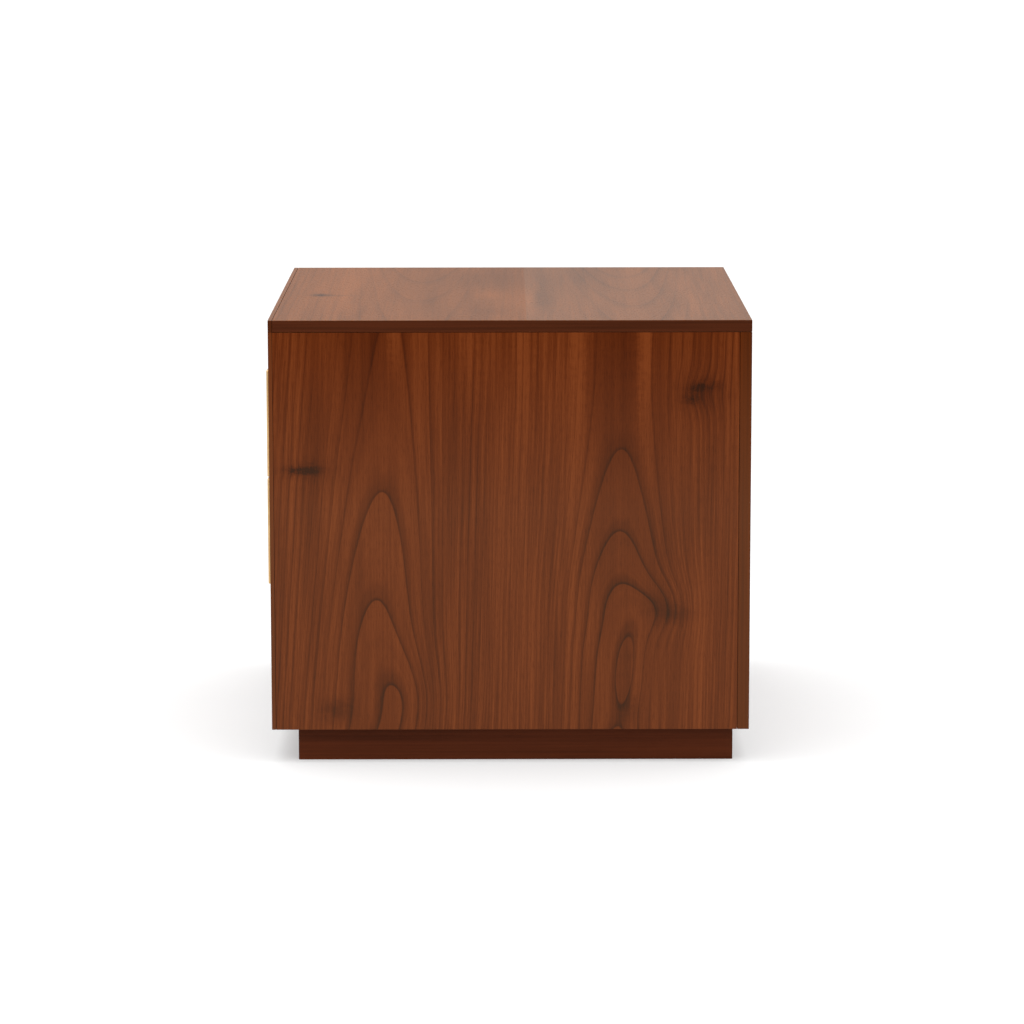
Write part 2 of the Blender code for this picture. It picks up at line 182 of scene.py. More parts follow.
def walnut(name, span, thin, wide, long, leaves, seam, stains=(), calm=(), contrast=1.0,
           cast=None, edges=EDGE_TONES, base=0.33, tones=VENEER_TONES, gloss=0.04):
    """Veneered board: 'thin', 'wide' and 'long' are the axes through it, across its grain and
    along it. Leaves, stains and calm spots sit at shares of the span. One leaf is book-matched."""
    made, tree, shader = blank(name)
    place = add(tree, "TexCoord", out=3)
    split = add(tree, "SeparateXYZ", place).node
    across, along = split.outputs[wide], split.outputs[long]

    def at(across_share, along_share):
        low, high = span
        return (low[wide] + across_share * (high[wide] - low[wide]),
                low[long] + along_share * (high[long] - low[long]))

    # The whole figure sways a little, and each line is slightly uneven
    flat = add(tree, "CombineXYZ", across, along)
    sway = grain(tree, flat, (5.0, 2.2, 1.0), 2.0, 0.45)
    ripple = grain(tree, flat, (220.0, 30.0, 1.0), 2.0)
    seam = at(seam, 0)[0]
    second = add(tree, "Math", across, seam, operation="GREATER_THAN")
    folded = across
    if len(leaves) == 1:
        folded = add(tree, "Math", across, seam, operation="SUBTRACT")
        folded = add(tree, "Math", folded, operation="ABSOLUTE")
        folded = add(tree, "Math", folded, seam, operation="ADD")
    swayed = layered(tree, folded, ((sway, 14 * MM, 0.5), (ripple, 1.0 * MM, 0.5)))
    figures = [crown(tree, swayed, along, leaf, at) for leaf in leaves]
    ring, rate = figures[0]
    if len(leaves) == 2:
        ring = add(tree, "Mix", by={"Factor": second, "A": ring, "B": figures[1][0]})
        rate = add(tree, "Mix", by={"Factor": second, "A": rate, "B": figures[1][1]})

    # Late wood: a dark line with a soft shadow on its outer side. Each year has its own strength,
    # and where the cut runs flat to the rings the lines are wider and darker.
    crowned = add(tree, "MapRange", rate, 15.0, 75.0, 1.0, 0.0)
    phase = add(tree, "Math", ring, operation="FRACT")
    year = add(tree, "Math", ring, operation="FLOOR")
    year = add(tree, "Math", second, 31.7, year, operation="MULTIPLY_ADD")
    strength = add(tree, "TexWhiteNoise", noise_dimensions="1D", by={"W": year})
    strength = add(tree, "MapRange", strength, 0.0, 1.0, 0.12, 0.62)
    strength = add(tree, "Mix", by={"Factor": crowned, "A": strength, "B": 0.95})
    past = add(tree, "Math", phase, rate, operation="DIVIDE")
    short = add(tree, "Math", 1.0, phase, operation="SUBTRACT")
    short = add(tree, "Math", short, rate, operation="DIVIDE")
    width = add(tree, "Math", crowned, 3.8 * MM, 1.2 * MM, operation="MULTIPLY_ADD")
    past_line = add(tree, "MapRange", past, 0.0, width, 1.0, 0.0, interpolation_type="SMOOTHSTEP")
    short_line = add(tree, "MapRange", short, 0.0, 1.5 * MM, 1.0, 0.0,
                     interpolation_type="SMOOTHSTEP")
    line = add(tree, "Math", past_line, short_line, operation="MAXIMUM")
    halo = add(tree, "MapRange", past, 0.0, 30 * MM, 1.0, 0.0)
    halo_end = add(tree, "MapRange", phase, 0.14, 0.34, 1.0, 0.0, interpolation_type="SMOOTHSTEP")
    halo = add(tree, "Math", halo, halo_end, operation="MULTIPLY")
    late = add(tree, "Math", halo, 1.0, line, operation="MULTIPLY_ADD")
    late = add(tree, "Math", late, strength, operation="MULTIPLY")

    # Streaks that follow the rings, pores drawn out along the grain, fibres, and broad bands.
    # Real pores are 0.2 mm across: they are drawn at 0.8 mm so that they show. The streaks are
    # weak where the cut runs flat to the rings, and streaks and lines fade in the calm spots.
    lively = add(tree, "Math", crowned, -0.7, 1.0, operation="MULTIPLY_ADD")
    for share, width, height, amount in calm:
        spot = hump(tree, across, along, at(*share), width, height)
        left = add(tree, "Math", spot, -amount, 1.0, operation="MULTIPLY_ADD")
        late = add(tree, "Math", late, left, operation="MULTIPLY")
        lively = add(tree, "Math", lively, left, operation="MULTIPLY")
    flow = add(tree, "Math", along, 4.0, operation="MULTIPLY")
    flow = add(tree, "CombineXYZ", add(tree, "Math", ring, 2.4, operation="MULTIPLY"), flow, second)
    streak = grain(tree, flow, (1.0, 1.0, 1.0), 6.0, 0.65)
    streak = add(tree, "Math", streak, 0.5, operation="SUBTRACT")
    streak = add(tree, "Math", streak, lively, operation="MULTIPLY")
    pore = grain(tree, flat, (1250.0, 75.0, 1.0))
    pore = add(tree, "MapRange", pore, 0.50, 0.74, 0.0, 1.0)
    fibre = grain(tree, flat, (380.0, 5.0, 1.0))
    broad = grain(tree, flat, (26.0, 1.4, 1.0), 3.0, 0.5)
    tone = layered(tree, base, (
        (streak, 1.25 * contrast, 0.0), (late, 0.32 * contrast, 0.15),
        (pore, 0.24 * contrast, 0.15), (fibre, 0.45 * contrast, 0.5),
        (broad, 0.70 * contrast, 0.5)))

    # Knots, stains and pale stripes, with frayed outlines
    fray = grain(tree, flat, (70.0, 150.0, 1.0), 3.0, 0.6)
    frayed = add(tree, "Math", fray, -0.5, operation="ADD")
    speck = grain(tree, flat, (450.0, 380.0, 1.0), 2.0)
    speck = add(tree, "MapRange", speck, 0.35, 0.65, 0.55, 1.25)
    for share, width, height, dark in stains:
        spot_x = add(tree, "Math", frayed, 1.4 * min(width, 12 * MM), across,
                     operation="MULTIPLY_ADD")
        spot_y = add(tree, "Math", frayed, 2.0 * min(height, 8 * MM), along,
                     operation="MULTIPLY_ADD")
        spot = hump(tree, spot_x, spot_y, at(*share), width, height)
        if height < 8 * MM:
            spot = add(tree, "Math", spot, speck, operation="MULTIPLY")
        tone = add(tree, "Math", spot, dark, tone, operation="MULTIPLY_ADD")
    colour = add(tree, "ValToRGB", tone).node
    ramp = colour.color_ramp
    ramp.elements.remove(ramp.elements[1])
    for position, tint in tones.items():
        stop = ramp.elements.new(position) if position else ramp.elements[0]
        stop.color = linear(tint)
    shade = colour.outputs[0]

    # The second leaf may have a colour added to it
    if cast:
        shade = add(tree, "Mix", data_type="RGBA", blend_type="ADD", out=2,
                    by={0: second, 6: shade, 7: linear(cast)})

    # Edges: grain along the strip
    stretch = [3.0, 3.0, 3.0]
    stretch[thin] = 260.0
    strip = add(tree, "MapRange", grain(tree, place, stretch, 5.0), 0.3, 0.7, 0.0, 1.0)
    strip = add(tree, "Mix", data_type="RGBA", out=2,
                by={0: strip, 6: linear(edges[0]), 7: linear(edges[1])})
    shade = boarded(tree, thin, shade, strip)
    # Upright boards: a painted reflection of the floor, strongest towards the foot.
    if long == Z:
        shade = painted_floor_reflection(tree, shade, along, span[0].z, span[1].z)
    oiled(tree, shader, shade, pore, late, gloss)
    return made


def dress(node, material):
    """Gives a carried-over piece its finish."""
    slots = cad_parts[node].data.materials
    slots.clear()
    slots.append(material)


right_leaves = (
    {"centre": 0.235, "lean": 0.05, "peak": 0.603, "pith": 0.158, "ring": 5.6 * MM,
     "arch": 0.165, "curve": 8.0, "reach": 0.262,
     "bends": (((0.25, 0.06), 60 * MM, 70 * MM, 26 * MM), ((0.06, 0.655), 40 * MM, 9 * MM, 2 * MM))},
    {"centre": 0.748, "peak": 0.709, "lean": 0.02, "pith": 0.158, "ring": 5.6 * MM,
     "arch": 0.150, "curve": 27.0, "reach": 0.205,
     "islands": (((0.915, 0.850), 26 * MM, 24 * MM, 0.9),
                 ((0.765, 0.150), 19 * MM, 68 * MM, -0.95),
                 ((0.752, -0.06), 26 * MM, 34 * MM, -0.9)),
     "bends": (((0.835, 0.310), 38 * MM, 40 * MM, 20 * MM),
               ((0.720, 0.000), 60 * MM, 90 * MM, -6 * MM),
               ((0.700, 0.290), 40 * MM, 36 * MM, 6 * MM))},
)
right_stains = (
    ((0.060, 0.658), 21 * MM, 6.0 * MM, 0.46),
    ((0.044, 0.655), 8.0 * MM, 4.2 * MM, 0.34),
    ((0.084, 0.656), 9.0 * MM, 4.5 * MM, 0.34),
    ((0.078, 0.654), 30 * MM, 12 * MM, 0.15),
    ((0.908, 0.861), 11 * MM, 6.5 * MM, 0.38),
    ((0.896, 0.834), 11 * MM, 6.0 * MM, 0.38),
    ((0.936, 0.866), 16 * MM, 6.5 * MM, 0.24),
    ((0.915, 0.845), 28 * MM, 24 * MM, 0.26),
    ((0.862, 0.293), 20 * MM, 12 * MM, 0.34),
    ((0.832, 0.322), 22 * MM, 18 * MM, 0.22),
    ((0.765, 0.050), 12 * MM, 20 * MM, 0.26),
    ((0.760, 0.170), 9.0 * MM, 40 * MM, 0.12),
    ((0.775, 0.400), 48 * MM, 95 * MM, 0.12),
    ((0.130, 0.050), 18 * MM, 14 * MM, 0.42),
    ((0.170, 0.550), 45 * MM, 70 * MM, -0.08),
    ((0.880, 0.520), 40 * MM, 70 * MM, 0.08),
    ((0.205, 1.000), 32 * MM, 110 * MM, 0.17),
    ((0.745, 1.000), 26 * MM, 190 * MM, 0.27),
    ((0.262, 1.000), 9.0 * MM, 60 * MM, -0.28),
    ((0.425, 1.000), 12 * MM, 110 * MM, -0.22),
    ((0.540, 1.000), 14 * MM, 150 * MM, -0.20),
    ((0.655, 1.000), 9.0 * MM, 150 * MM, -0.30),
    ((0.800, 1.000), 10 * MM, 130 * MM, -0.34),
)
right_calm = (
    ((0.835, 0.150), 34 * MM, 62 * MM, 0.85),
    ((0.150, 1.000), 60 * MM, 190 * MM, 0.65),
    ((0.745, 1.000), 40 * MM, 190 * MM, 0.60),
    ((0.480, 1.050), 150 * MM, 170 * MM, 0.35),
)
dress("side_panel_right", walnut(
    "oiled walnut veneer, right side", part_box("side_panel_right"), X, Y, Z, right_leaves, 0.462,
    right_stains, right_calm))
left_leaves = (
    {"centre": 0.30, "lean": -0.05, "peak": 0.78, "pith": 0.150, "ring": 5.4 * MM,
     "arch": 0.165, "curve": 6.0, "bends": (((0.12, 0.30), 40 * MM, 10 * MM, 3 * MM),)},
    {"centre": 0.73, "lean": 0.04, "peak": 0.52, "pith": 0.165, "ring": 5.8 * MM,
     "arch": 0.140, "curve": 12.0, "islands": (((0.745, 0.10), 15 * MM, 50 * MM, -1.1),)},
)
left_stains = (
    ((0.125, 0.300), 13 * MM, 4.5 * MM, 0.60), ((0.520, 0.640), 8 * MM, 4.0 * MM, 0.35),
    ((0.300, 1.000), 34 * MM, 120 * MM, 0.20), ((0.720, 1.000), 26 * MM, 150 * MM, 0.18),
    ((0.420, 1.000), 10 * MM, 130 * MM, -0.18), ((0.600, 1.000), 11 * MM, 150 * MM, -0.18),
)
left_calm = (((0.30, 1.0), 60 * MM, 170 * MM, 0.6), ((0.72, 1.0), 60 * MM, 170 * MM, 0.5))
dress("side_panel_left", walnut(
    "oiled walnut veneer, left side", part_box("side_panel_left"), X, Y, Z, left_leaves, 0.52,
    left_stains, left_calm))


# Bottom panel: the same veneered board, set between the sides. It is the cabinet's floor, and its
# grain runs from side to side.
dress("bottom_panel", walnut(
    "oiled walnut veneer, bottom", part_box("bottom_panel"), Z, Y, X,
    ({"centre": 0.78, "peak": 0.70, "pith": 0.150, "ring": 5.6 * MM, "arch": 0.160, "curve": 5.0},),
    0.50))


# Back panel: a veneered board glued over the rear edges of the sides and the bottom, so the
# cabinet is finished on all sides. Its one leaf is book-matched about the middle.
dress("back_panel", walnut(
    "oiled walnut veneer, back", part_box("back_panel"), Y, X, Z,
    ({"centre": 0.76, "lean": 0.05, "peak": 0.66, "pith": 0.155, "ring": 5.6 * MM,
      "arch": 0.150, "curve": 8.0, "bends": (((0.90, 0.40), 38 * MM, 12 * MM, 4 * MM),)},),
    0.50, (((0.90, 0.40), 12 * MM, 5 * MM, 0.5), ((0.255, 0.85), 30 * MM, 110 * MM, 0.16)),
    edges=("#5a2606", "#441c05")))


# Top panel: a veneered board laid over the sides and the back, with its grain from side to side.
# Two leaves meet in a pale sliver of sapwood, and the grain swirls round a knot beside it.
dress("top_panel", walnut(
    "oiled walnut veneer, top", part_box("top_panel"), Z, Y, X,
    ({"centre": 0.30, "peak": 0.30, "pith": 0.160, "ring": 7.0 * MM, "arch": 0.20, "curve": 3.0,
      "bends": (((0.08, 0.55), 40 * MM, 30 * MM, 4 * MM),)},
     {"centre": 0.76, "peak": 0.75, "pith": 0.170, "ring": 7.0 * MM, "arch": 0.22, "curve": 3.0,
      "islands": (((0.570, 0.62), 26 * MM, 110 * MM, 3.2),)}),
    0.53, (
        ((0.080, 0.55), 11 * MM, 14 * MM, 0.7), ((0.115, 0.56), 22 * MM, 8.5 * MM, 0.25),
        ((0.556, 0.62), 15 * MM, 120 * MM, 0.30), ((0.540, 0.62), 11 * MM, 130 * MM, -0.34),
        ((0.45, 0.55), 14 * MM, 50 * MM, -0.22), ((0.46, 0.85), 22 * MM, 50 * MM, 0.14),
        ((0.42, 0.25), 55 * MM, 140 * MM, 0.20), ((0.64, 0.25), 26 * MM, 160 * MM, 0.18),
        ((0.12, 0.30), 60 * MM, 600 * MM, -0.12)),
    (((0.50, 0.50), 420 * MM, 900 * MM, 0.72),),
    contrast=0.95, cast="#121f20", gloss=0.056,
    # These tones are lighter and yellower than the sides': partly the veneer, partly painted sheen.
    tones={0.0: "#7a461f", 0.30: "#683b18", 0.60: "#563012", 1.0: "#321706"}))


# Front lipping: solid walnut strips, 5 mm thick, glued over the boards' front edges and mitred at
# the corners. The arrises are eased.
# A painted sheen, added to the faces of solid walnut that look up.
PAINTED_UP_SHEEN = "#42301a"
MITRE_TIP = "#c4c2c0"
LIPPING_GLOSS = 0.056


def solid_walnut(name, along, light, dark, spacing=4.5 * MM):
    """Oiled solid walnut: rings seen edge on, pores and a satin surface, grain along one axis.
    Faces that look up carry a painted sheen, the uprights a painted floor reflection towards the
    foot, and the uprights' mitred tips are darker."""
    made, tree, shader = blank(name)
    place = add(tree, "TexCoord", out=3)
    stretch = [1 / spacing] * 3
    stretch[along] = 2.5
    ring = grain(tree, place, stretch, 4.0, 0.55)
    stretch = [1250.0] * 3
    stretch[along] = 60.0
    pore = add(tree, "MapRange", grain(tree, place, stretch), 0.50, 0.74, 0.0, 1.0)
    stretch = [25.0] * 3
    stretch[along] = 4.0
    broad = grain(tree, place, stretch, 2.0)
    tone = layered(tree, 0.5, ((ring, 2.4, 0.5), (pore, 0.35, 0.15), (broad, 1.1, 0.5)))
    shade = add(tree, "Mix", data_type="RGBA", out=2,
                by={0: tone, 6: linear(light), 7: linear(dark)})
    # Faces that look up get the painted sheen.
    up = add(tree, "SeparateXYZ", add(tree, "TexCoord", out=1)).node.outputs[Z]
    up = add(tree, "Math", up, 0.7, operation="GREATER_THAN")
    shade = add(tree, "Mix", data_type="RGBA", blend_type="ADD", out=2,
                by={0: up, 6: shade, 7: linear(PAINTED_UP_SHEEN)})
    # Uprights: a painted reflection of the floor towards the foot, and darker tips above the sides.
    if along == Z:
        side_low, side_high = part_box("side_panel_right")
        height = add(tree, "SeparateXYZ", place).node.outputs[Z]
        shade = painted_floor_reflection(tree, shade, height, side_low.z, side_high.z)
        tip = add(tree, "Math", height, side_high.z, operation="GREATER_THAN")
        shade = add(tree, "Mix", data_type="RGBA", blend_type="MULTIPLY", out=2,
                    by={0: tip, 6: shade, 7: linear(MITRE_TIP)})
    oiled(tree, shader, shade, pore, ring, LIPPING_GLOSS)
    return made


level_lipping = solid_walnut("oiled walnut lipping, level", X, "#5c2c12", "#4a200a")
upright_lipping = solid_walnut("oiled walnut lipping, upright", Z, "#612d0f", "#52240b")
dress("front_lipping_top", level_lipping)
dress("front_lipping_bottom", level_lipping)
dress("front_lipping_left", upright_lipping)
dress("front_lipping_right", upright_lipping)


# Plinth: four solid walnut boards, mitred, set back under the cabinet so that it seems to float.
plinth_ends = solid_walnut("oiled walnut plinth, grain across", X, "#532511", "#421c0c")
plinth_sides = solid_walnut("oiled walnut plinth, grain front to back", Y, "#532511", "#421c0c")
dress("plinth_front", plinth_ends)
dress("plinth_back", plinth_ends)
dress("plinth_left", plinth_sides)
dress("plinth_right", plinth_sides)


# Corner blocks: beech, glued into the plinth's corners and screwed up into the cabinet's floor.
# Beech is pale pink-brown with short, fine flecks.
beech, tree, shader = blank("planed beech")
place = add(tree, "TexCoord", out=3)
fleck = grain(tree, place, (900.0, 900.0, 160.0), 2.0)
fleck = add(tree, "MapRange", fleck, 0.56, 0.68, 0.0, 1.0)
band = grain(tree, place, (160.0, 160.0, 6.0), 3.0)
tone = layered(tree, 0.4, ((fleck, 0.5, 0.1), (band, 1.6, 0.5)))
shade = add(tree, "Mix", data_type="RGBA", out=2,
            by={0: tone, 6: linear("#d9b48c"), 7: linear("#b98a62")})
tree.links.new(shade, shader.inputs["Base Color"])
rough = add(tree, "MapRange", band, 0.3, 0.7, 0.50, 0.62)
tree.links.new(rough, shader.inputs["Roughness"])
bump = add(tree, "Bump", by={"Strength": 0.3, "Distance": 0.1 * MM, "Height": fleck})
tree.links.new(bump, shader.inputs["Normal"])
for place in ("front", "back"):
    for hand in ("left", "right"):
        dress(f"plinth_block_{place}_{hand}", beech)


# Screws: hardened steel, zinc plated, with pan heads and a cross recess. The plating is bright
# grey with a faint yellow-blue cast where it is thin.
def polished(tree, shader, tone, colours, rough, relief, strength=0.15):
    """A metal surface between two colours, unevenly polished, with a fine relief."""
    shade = add(tree, "Mix", data_type="RGBA", out=2,
                by={0: tone, 6: linear(colours[0]), 7: linear(colours[1])})
    tree.links.new(shade, shader.inputs["Base Color"])
    shader.inputs["Metallic"].default_value = 1.0
    tree.links.new(rough, shader.inputs["Roughness"])
    bump = add(tree, "Bump", by={"Strength": strength, "Distance": 0.05 * MM, "Height": relief})
    tree.links.new(bump, shader.inputs["Normal"])


zinc, tree, shader = blank("bright zinc plating")
place = add(tree, "TexCoord", out=3)
cloud = grain(tree, place, (55.0, 55.0, 55.0), 4.0)
spangle = grain(tree, place, (1400.0, 1400.0, 1400.0), 2.0)
tone = add(tree, "MapRange", cloud, 0.35, 0.65, 0.0, 1.0)
rough = layered(tree, 0.34, ((cloud, 0.25, 0.5), (spangle, 0.12, 0.5)))
polished(tree, shader, tone, ("#b9bcc0", "#c9c6bd"), rough, spangle)


def finished(name, source, material, body, place=None, replaces=()):
    """Links a new piece, with its finish, its place and the body it rides on."""
    made = bpy.data.objects.new(name, source)
    if not source.materials:
        source.materials.append(material)
    bpy.context.scene.collection.objects.link(made)
    if place is not None:
        made.matrix_world = place
    if replaces:
        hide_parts(*replaces)
    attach(made, body)
    return made


def applied(carrier):
    """The mesh that an object's modifiers make, with the object removed."""
    seen = carrier.evaluated_get(bpy.context.evaluated_depsgraph_get())
    made = bpy.data.meshes.new_from_object(seen)
    bpy.data.objects.remove(carrier)
    return made


def turned(profile, steps=40):
    """A profile of (radius, height) points, top to bottom, turned about Z."""
    mesh = bpy.data.meshes.new("profile")
    points = [(radius, 0, height) for radius, height in profile]
    mesh.from_pydata(points, [(i, i + 1) for i in range(len(points) - 1)], [])
    lathe = bpy.data.objects.new("lathe", mesh)
    bpy.context.scene.collection.objects.link(lathe)
    screw = lathe.modifiers.new("turning", "SCREW")
    screw.steps = screw.render_steps = steps
    screw.use_merge_vertices = True
    screw.merge_threshold = 0.00001
    return lathe


def smoothed(mesh, angle=35):
    """Smooth shading, with an edge kept sharp where it folds by more than the angle."""
    mesh.shade_smooth()
    mesh.set_sharp_from_angle(angle=math.radians(angle))
    return mesh


def screw_mesh(length, head, height, shank):
    """A pan-head screw with a cross recess, its head standing on Z = 0 and its point down. The
    head and the shank are radii."""
    dome = [math.radians(90) * step / 6 for step in range(7)]
    profile = [(head * math.sin(a) ** 0.8, height * (0.35 + 0.65 * math.cos(a))) for a in dome]
    profile += [(head, 0), (shank, 0), (shank, 2 * shank - length), (0, -length)]
    lathe = turned(profile, 32)
    slots = []
    for turn in (0, 90):
        bm = bmesh.new()
        bmesh.ops.create_cube(bm, size=1)
        for corner in bm.verts:
            taper = 1.0 if corner.co.z > 0 else 0.45
            corner.co.x *= 1.15 * head * taper
            corner.co.y *= 0.24 * head * taper
            corner.co.z = height * (1.3 if corner.co.z > 0 else 0.15)
        bm.transform(Matrix.Rotation(math.radians(turn), 4, "Z"))
        mesh = bpy.data.meshes.new("slot")
        bm.to_mesh(mesh)
        bm.free()
        slot = bpy.data.objects.new("slot", mesh)
        bpy.context.scene.collection.objects.link(slot)
        cut = lathe.modifiers.new("recess", "BOOLEAN")
        cut.operation = "DIFFERENCE"
        cut.solver = "EXACT"
        cut.object = slot
        slots.append(slot)
    made = applied(lathe)
    for slot in slots:
        bpy.data.objects.remove(slot)
    return smoothed(made)


def driven(place, direction):
    """Matrix of a screw driven in a direction, with its head's underside at a place."""
    turn = Vector((0, 0, -1)).rotation_difference(Vector(direction)).to_matrix().to_4x4()
    return Matrix.Translation(place) @ turn


block_screw = screw_mesh(length=47.5 * MM, head=4.0 * MM, height=2.0 * MM, shank=2.0 * MM)
for place in ("front", "back"):
    for hand in ("left", "right"):
        low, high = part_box(f"plinth_block_{place}_{hand}")
        under = (low + high) / 2
        under.z = low.z
        finished(f"plinth_block_screw_{place}_{hand}", block_screw, zinc,
                 "carcass", driven(under, (0, 0, 1)))


# Drawer slides: roll-formed, zinc-plated steel channels that nest in each other, with a cabinet
# member screwed to the side panel, a middle member, and a drawer member screwed to the box. The
# plating shows faint lengthwise roll marks.
rolled, tree, shader = blank("roll-formed zinc-plated steel")
place = add(tree, "TexCoord", out=3)
marks = grain(tree, place, (900.0, 3.0, 900.0), 3.0)
cloud = grain(tree, place, (40.0, 8.0, 40.0), 3.0)
tone = layered(tree, 0.5, ((marks, 0.9, 0.5), (cloud, 1.2, 0.5)))
rough = layered(tree, 0.36, ((marks, 0.18, 0.5), (cloud, 0.15, 0.5)))
polished(tree, shader, tone, ("#aeb2b6", "#c4c3bf"), rough, marks)
DRAWERS = ("upper", "lower")
for drawer in DRAWERS:
    for hand in ("left", "right"):
        for member in ("cabinet", "middle", "drawer"):
            dress(f"{drawer}_slide_{member}_member_{hand}", rolled)


# Slide screws: three flat-headed screws through the web of each cabinet member and each drawer
# member, in the pilot holes at both ends and in the middle.
HANDS = (("left", -1), ("right", 1))
STEEL = 1.2 * MM
SCREW_END_INSET = 37 * MM
SLIDE_SCREW = 9.2 * MM
SLIDE_SHANK = 1.75 * MM
cabinet_screw = screw_mesh(SLIDE_SCREW, head=3.2 * MM, height=0.6 * MM, shank=SLIDE_SHANK)
drawer_screw = screw_mesh(SLIDE_SCREW, head=3.6 * MM, height=1.8 * MM, shank=SLIDE_SHANK)
for drawer in DRAWERS:
    for hand, sign in HANDS:
        for member, source, body, outward in (
            ("cabinet", cabinet_screw, "carcass", sign),
            ("drawer", drawer_screw, f"{drawer}_drawer", -sign),
        ):
            low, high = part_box(f"{drawer}_slide_{member}_member_{hand}")
            fixed_face = high.x if outward > 0 else low.x
            ys = (low.y + SCREW_END_INSET, (low.y + high.y) / 2, high.y - SCREW_END_INSET)
            for number, y in enumerate(ys, 1):
                web = Vector((fixed_face - outward * STEEL, y, (low.z + high.z) / 2))
                finished(f"{drawer}_{member}_member_screw_{hand}_{number}", source, zinc,
                         body, driven(web, (outward, 0, 0)))


# Ball races: two rows of hardened balls run above and below each joint of a slide, held apart in
# a thin pressed channel. Each slide has an outer race behind and an inner one in front.
CAGE_STEEL = 0.5 * MM
CAGE_FOLD = 1.2 * MM
CAGE_MOUTH = 0.6 * MM  # a member's open side to the cage's edge
OUTER_WEB = 2.3 * MM  # the cabinet member's back to the outer cage's web
INNER_WEB = 0.4 * MM  # the middle member's web to the inner cage's web
BALL = 3.5 * MM
BALLS_IN_A_ROW = 13
RACE_SHARE = 0.4  # of the middle member's length, from its end
RACE_END = 8 * MM
ball_steel, tree, shader = blank("polished ball steel")
place = add(tree, "TexCoord", out=3)
haze = grain(tree, place, (700.0, 700.0, 700.0), 2.0)
shader.inputs["Base Color"].default_value = linear("#c3c5c8")
shader.inputs["Metallic"].default_value = 1.0
rough = add(tree, "MapRange", haze, 0.3, 0.7, 0.10, 0.22)
tree.links.new(rough, shader.inputs["Roughness"])


def ball_race(name, web, edge, row, ball_x, y_from, y_to, level, body):
    """A pressed channel at a level, from its web to its edge, and its two rows of balls, one
    above the level and one below."""
    bm = bmesh.new()
    corners = ((edge, -row), (web, -row), (web, row), (edge, row))
    verts = [bm.verts.new((x, y_from, level + z)) for x, z in corners]
    edges = [bm.edges.new(pair) for pair in zip(verts, verts[1:])]
    swept = bmesh.ops.extrude_edge_only(bm, edges=edges)["geom"]
    far = [item for item in swept if isinstance(item, bmesh.types.BMVert)]
    bmesh.ops.translate(bm, vec=(0, y_to - y_from, 0), verts=far)
    folds = [e for e in bm.edges if len(e.link_faces) == 2]
    bmesh.ops.bevel(bm, geom=folds, offset=CAGE_FOLD, segments=3, affect="EDGES")
    mesh = bpy.data.meshes.new(name)
    bm.to_mesh(mesh)
    bm.free()
    cage = finished(f"{name}_cage", smoothed(mesh), zinc, body)
    wall = cage.modifiers.new("steel", "SOLIDIFY")
    wall.thickness = CAGE_STEEL
    wall.offset = 0
    bm = bmesh.new()
    for step in range(BALLS_IN_A_ROW):
        y = y_from + (step + 0.5) / BALLS_IN_A_ROW * (y_to - y_from)
        for z in (-row, row):
            bmesh.ops.create_uvsphere(
                bm, u_segments=16, v_segments=10, radius=BALL / 2,
                matrix=Matrix.Translation((ball_x, y, level + z)))
    mesh = bpy.data.meshes.new(f"{name}_balls")
    bm.to_mesh(mesh)
    bm.free()
    finished(f"{name}_balls", smoothed(mesh, 60), ball_steel, body)


for drawer in DRAWERS:
    for hand, sign in HANDS:
        cabinet, middle, inner = (
            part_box(f"{drawer}_slide_{member}_member_{hand}")
            for member in ("cabinet", "middle", "drawer"))
        level = (middle[0].z + middle[1].z) / 2
        near_side = [max(box[1].x, -box[0].x) for box in (cabinet, middle, inner)]
        far_side = [min(abs(box[0].x), abs(box[1].x)) for box in (cabinet, middle, inner)]
        half = [(box[1].z - box[0].z) / 2 for box in (cabinet, middle, inner)]
        race_length = RACE_SHARE * (middle[1].y - middle[0].y)
        ball_race(
            f"{drawer}_outer_race_{hand}",
            web=sign * (near_side[0] - OUTER_WEB), edge=sign * (far_side[0] + CAGE_MOUTH),
            row=(half[0] - STEEL + half[1]) / 2, ball_x=sign * (near_side[1] + far_side[0]) / 2,
            y_from=middle[1].y - race_length, y_to=middle[1].y - RACE_END, level=level,
            body=f"{drawer}_middle_members")
        ball_race(
            f"{drawer}_inner_race_{hand}",
            web=sign * (near_side[1] - STEEL - INNER_WEB), edge=sign * (far_side[1] + CAGE_MOUTH),
            row=(half[1] - STEEL + half[2]) / 2, ball_x=sign * (near_side[2] + far_side[1]) / 2,
            y_from=middle[0].y + RACE_END, y_to=middle[0].y + race_length, level=level,
            body=f"{drawer}_middle_members")


